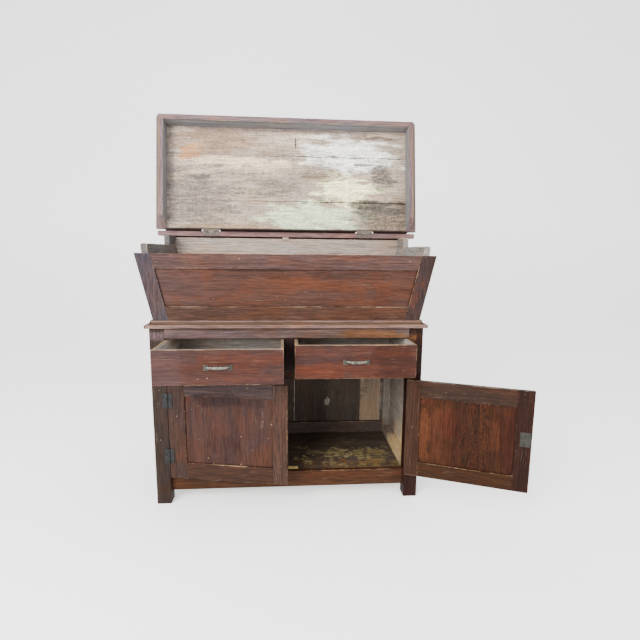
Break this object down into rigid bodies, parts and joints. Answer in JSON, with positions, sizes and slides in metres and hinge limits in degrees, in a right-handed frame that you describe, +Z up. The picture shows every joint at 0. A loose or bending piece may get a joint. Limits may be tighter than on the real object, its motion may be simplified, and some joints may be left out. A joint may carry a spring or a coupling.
{
  "type": "bakers cabinet",
  "caption": "Free-standing wooden baking cabinet: doored cupboard with drawers below a flared dough trough, under a broad hinged lid that leans back.",
  "frame": {"origin": "middle of the footprint that the cabinet takes up as it stands at rest, with lid leaned back, drawers out and doors open, on the floor", "axes": "+X to the right seen from the front, +Y to the back, +Z up"},
  "size_m": [1.608, 0.8558, 1.7244],
  "materials": {
    "stained_wood": "old dark red-brown stain, satin, worn at the edges",
    "bare_wood": "unfinished softwood, greyed and scrubbed",
    "drawer_wood": "unfinished pine, darkened with age",
    "floor_wood": "unfinished softwood, soiled and worn",
    "painted_wood": "worn pale paint over grey wood",
    "iron": "dark, dull",
    "cast_metal": "grey, worn bright on the grip"
  },
  "bodies": {
    "cabinet": {"front_left_leg": "stained_wood", "front_right_leg": "stained_wood", "rear_left_leg": "stained_wood", "rear_right_leg": "stained_wood", "front_top_rail": "stained_wood", "drawer_rail": "stained_wood", "bottom_rail": "stained_wood", "drawer_divider": "stained_wood", "left_side": "stained_wood", "right_side": "stained_wood", "cabinet_floor": "floor_wood", "door_stop_block": "bare_wood", "back_rail": "bare_wood", "back_boards": "bare_wood", "centre_drawer_runner": "bare_wood", "waist_moulding": "stained_wood", "trough_floor": "bare_wood", "trough_left_stile": "stained_wood", "trough_right_stile": "stained_wood", "trough_front_bottom_rail": "stained_wood", "trough_front_top_rail": "stained_wood", "trough_front_panel": "stained_wood", "trough_left_side": "bare_wood", "trough_right_side": "bare_wood", "trough_back": "bare_wood", "hinge_rail": "stained_wood", "left_lid_hinge_fixed_leaf": "iron", "right_lid_hinge_fixed_leaf": "iron", "left_door_upper_hinge_fixed_leaf": "iron", "left_door_lower_hinge_fixed_leaf": "iron", "right_door_upper_hinge_fixed_leaf": "iron", "right_door_lower_hinge_fixed_leaf": "iron"},
    "lid": {"lid_board": "painted_wood", "lid_front_rim": "stained_wood", "lid_left_rim": "stained_wood", "lid_right_rim": "stained_wood", "left_lid_hinge_moving_leaf": "iron", "right_lid_hinge_moving_leaf": "iron"},
    "left_drawer": {"left_drawer_front": "stained_wood", "left_drawer_left_wall": "drawer_wood", "left_drawer_right_wall": "drawer_wood", "left_drawer_back": "drawer_wood", "left_drawer_bottom": "drawer_wood", "left_drawer_pull": "cast_metal"},
    "right_drawer": {"right_drawer_front": "stained_wood", "right_drawer_left_wall": "drawer_wood", "right_drawer_right_wall": "drawer_wood", "right_drawer_back": "drawer_wood", "right_drawer_bottom": "drawer_wood", "right_drawer_pull": "cast_metal"},
    "left_door": {"left_door_frame": "stained_wood", "left_door_panel": "stained_wood", "left_door_upper_hinge_moving_leaf": "iron", "left_door_lower_hinge_moving_leaf": "iron"},
    "right_door": {"right_door_frame": "stained_wood", "right_door_panel": "stained_wood", "right_door_upper_hinge_moving_leaf": "iron", "right_door_lower_hinge_moving_leaf": "iron", "lock_case": "cast_metal"},
    "lock_bolt": {"lock_bolt": "iron"}
  },
  "joints": [
    {"name": "lid_hinge", "type": "hinge", "parent": "cabinet", "child": "lid", "pos_m": [-0.15529, 0.33295, 1.16555], "axis": [1, 0, 0], "range_deg": [0, 100.2]},
    {"name": "left_drawer_slide", "type": "slide", "parent": "cabinet", "child": "left_drawer", "axis": [0, -1, 0], "range_m": [-0.202, 0.148]},
    {"name": "right_drawer_slide", "type": "slide", "parent": "cabinet", "child": "right_drawer", "axis": [0, -1, 0], "range_m": [-0.131, 0.219]},
    {"name": "left_door_hinge", "type": "hinge", "parent": "cabinet", "child": "left_door", "pos_m": [-0.65579, -0.20285, 0.3285], "axis": [0, 0, -1], "range_deg": [-10.9, 164.1]},
    {"name": "right_door_hinge", "type": "hinge", "parent": "cabinet", "child": "right_door", "pos_m": [0.34521, -0.20285, 0.3285], "axis": [0, 0, 1], "range_deg": [-157, 18]},
    {"name": "lock_bolt_slide", "type": "slide", "parent": "right_door", "child": "lock_bolt", "axis": [0.9205, -0.3907, 0], "range_m": [0, 0.008]}
  ]
}
